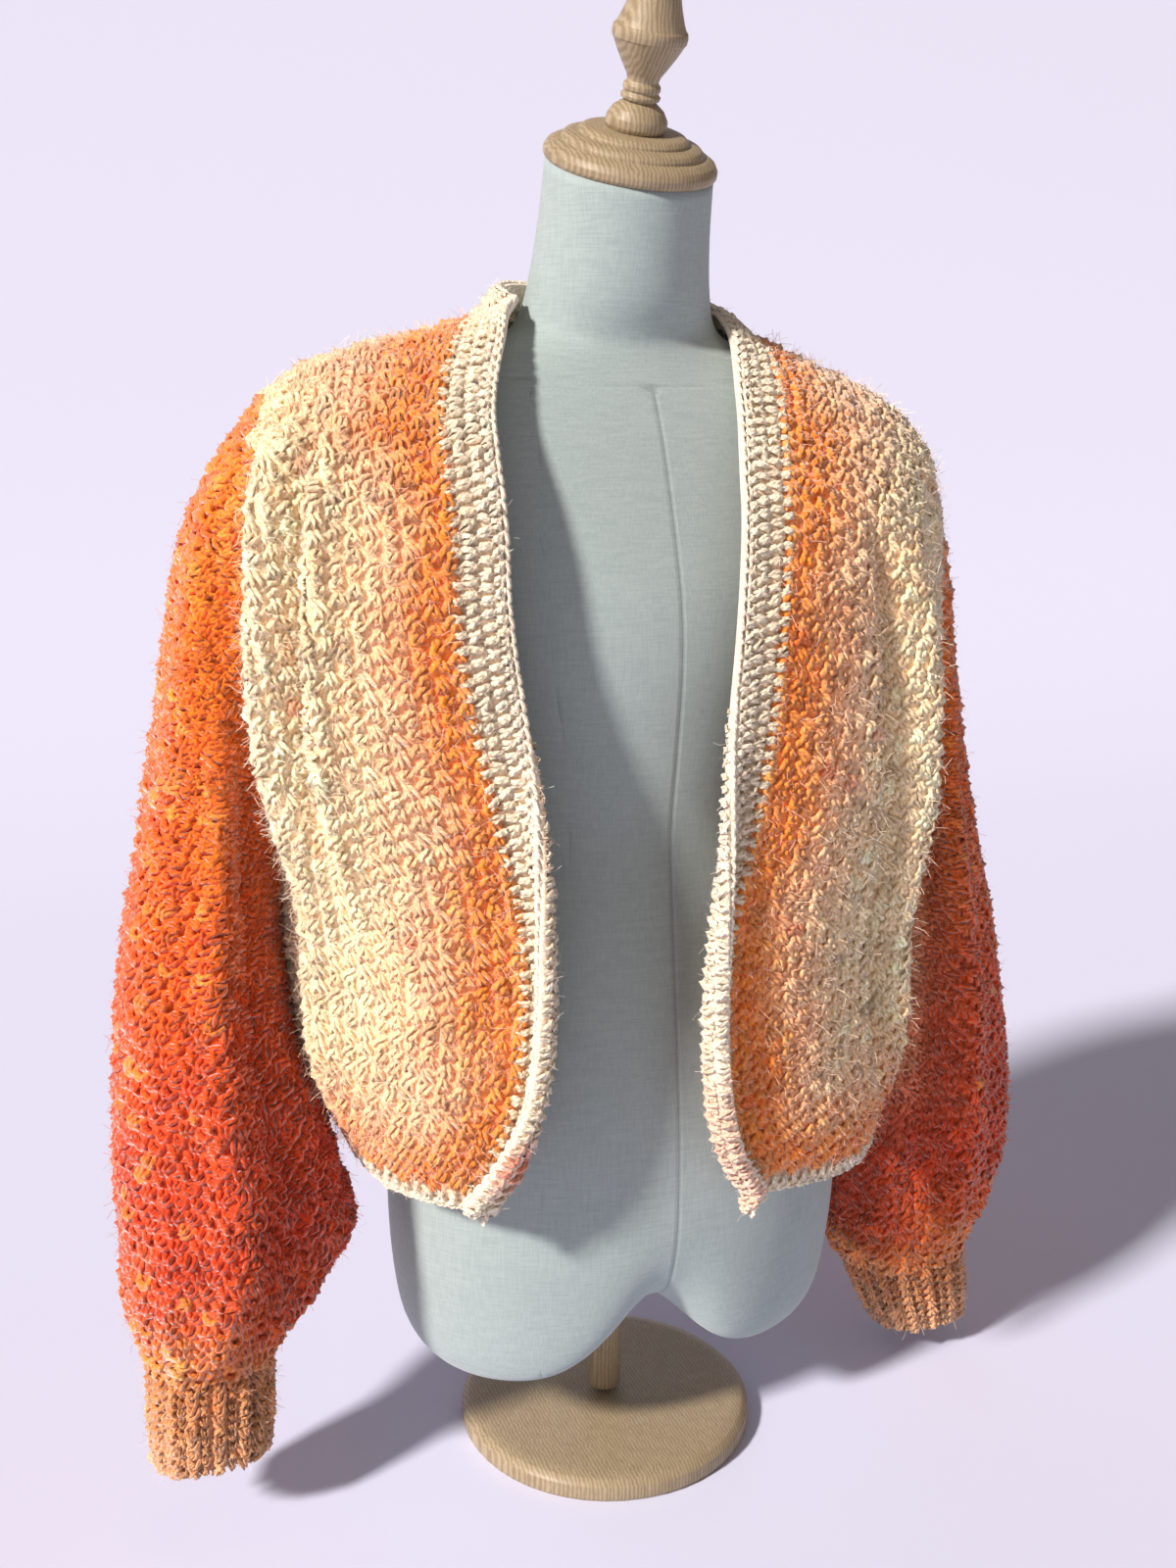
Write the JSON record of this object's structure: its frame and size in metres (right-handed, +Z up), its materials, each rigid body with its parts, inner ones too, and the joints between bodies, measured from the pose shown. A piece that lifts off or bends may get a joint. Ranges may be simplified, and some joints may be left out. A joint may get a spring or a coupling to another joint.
{
  "type": "cardigan on a limbless dress form",
  "caption": "Cropped open-front crocheted cardigan with full balloon sleeves, ribbed cuffs and a rolled front band, worn by a limbless linen dress form with a turned wooden cap and low stand",
  "frame": {"origin": "on the floor, below the middle of the whole object's box", "axes": "+Z up, the wearer faces -Y, the wearer's right is at -X"},
  "size_m": [0.7466, 0.3252, 1.1004],
  "materials": {
    "crochet_orange": "fuzzy crocheted yarn, orange running to cream",
    "crochet_cream": "fuzzy crocheted yarn, cream",
    "linen_cover": "pale woven linen",
    "turned_ash": "natural, satin"
  },
  "bodies": {
    "root": {"back": "crochet_orange", "right_front": "crochet_orange", "left_front": "crochet_orange", "right_sleeve": "crochet_orange", "left_sleeve": "crochet_orange", "right_cuff": "crochet_orange", "left_cuff": "crochet_orange", "front_band": "crochet_cream", "hem_edging": "crochet_cream", "torso_form": "linen_cover", "neck_cap": "turned_ash", "finial": "turned_ash", "stand_base": "turned_ash", "stand_post": "turned_ash"}
  },
  "joints": []
}
